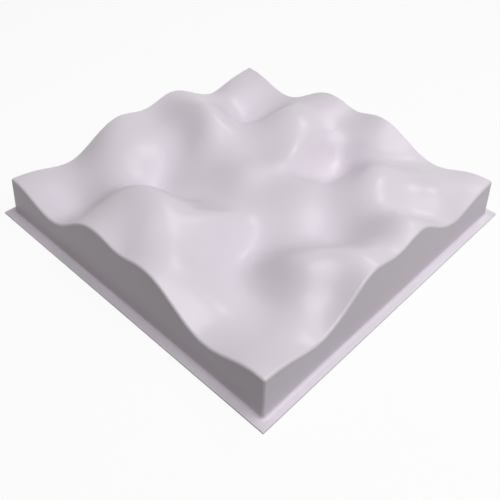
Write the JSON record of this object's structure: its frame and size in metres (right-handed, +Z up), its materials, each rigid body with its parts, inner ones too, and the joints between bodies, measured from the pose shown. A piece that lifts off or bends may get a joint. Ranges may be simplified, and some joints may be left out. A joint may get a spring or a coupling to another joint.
{
  "type": "acoustic scattering panel",
  "caption": "Square thermoformed panel with a smooth relief of hills and hollows, drafted walls and a flat flange; it scatters sound from a ceiling or wall.",
  "frame": {"origin": "centre of the flange's underside, on the surface that the panel lies on", "axes": "X and Y along the sides, +Z up out of the scattering face"},
  "size_m": [0.603, 0.603, 0.1225],
  "materials": {
    "plastic_sheet": "satin white thermoformed plastic sheet"
  },
  "bodies": {
    "root": {"scattering_panel": "plastic_sheet"}
  },
  "joints": []
}
